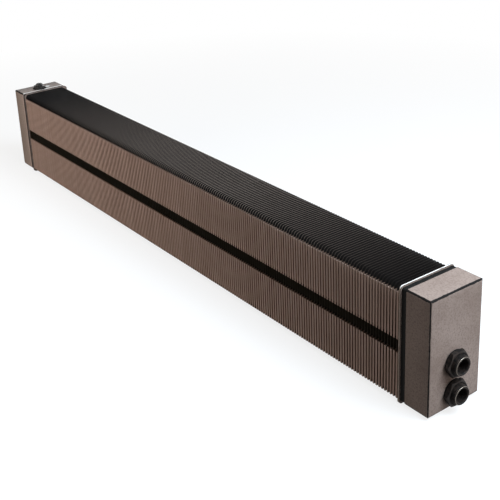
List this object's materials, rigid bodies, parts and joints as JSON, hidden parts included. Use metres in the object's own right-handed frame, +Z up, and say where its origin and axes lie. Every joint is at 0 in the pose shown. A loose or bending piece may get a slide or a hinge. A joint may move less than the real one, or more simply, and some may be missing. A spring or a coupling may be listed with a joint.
{
  "type": "convector",
  "caption": "Long caseless wall convector: a bank of folded fins on tubes, a capped header at each end, an air vent on one cap and threaded pipe connections on the other.",
  "frame": {"origin": "centre of the bounding box's footprint, on the surface that the two end rims stand on", "axes": "+X along the length towards the end with the pipe connections, +Y to the back, the side that faces the wall, +Z up"},
  "size_m": [1.133, 0.09, 0.1701],
  "materials": {
    "cap_paint": "fine satin paint, warm brown grey",
    "fin_paint": "satin paint, brown",
    "tube_copper": "copper tube, dull",
    "header_steel": "bare steel",
    "seal_rubber": "matt black",
    "fitting_black": "blackened steel, satin",
    "vent_metal": "darkened brass, satin",
    "fixing_zinc": "zinc plated"
  },
  "bodies": {
    "convector": {"left_cap": "cap_paint", "right_cap": "cap_paint", "left_end_plate": "cap_paint", "right_end_plate": "cap_paint", "fin_bank_1": "fin_paint", "fin_bank_2": "fin_paint", "fin_bank_3": "fin_paint", "fin_bank_4": "fin_paint", "tube_bottom": "tube_copper", "tube_lower_middle": "tube_copper", "tube_upper_middle": "tube_copper", "tube_top": "tube_copper", "left_header": "header_steel", "right_header": "header_steel", "left_header_ends": "header_steel", "right_header_ends": "header_steel", "header_divider": "header_steel", "vent_socket": "header_steel", "left_seal_strip": "seal_rubber", "right_seal_strip": "seal_rubber", "lower_washer": "seal_rubber", "upper_washer": "seal_rubber", "vent_grommet": "seal_rubber", "vent_gasket": "seal_rubber", "lower_stub": "fitting_black", "upper_stub": "fitting_black", "lower_locknut": "fitting_black", "upper_locknut": "fitting_black", "vent_body": "vent_metal", "left_cap_screws": "fixing_zinc", "right_cap_screws": "fixing_zinc", "left_wall_fixings": "fixing_zinc", "right_wall_fixings": "fixing_zinc"},
    "nozzle_ring": {"vent_nozzle": "vent_metal"},
    "bleed_screw_body": {"bleed_screw": "vent_metal"}
  },
  "joints": [
    {"name": "nozzle_swivel", "type": "hinge", "parent": "convector", "child": "nozzle_ring", "pos_m": [-0.54203, -0.002, 0.1663], "axis": [0, 0, 1], "continuous": true},
    {"name": "bleed_screw_turn", "type": "hinge", "parent": "convector", "child": "bleed_screw_body", "pos_m": [-0.54203, -0.002, 0.1683], "axis": [0, 0, 1], "range_deg": [0, 270]}
  ]
}
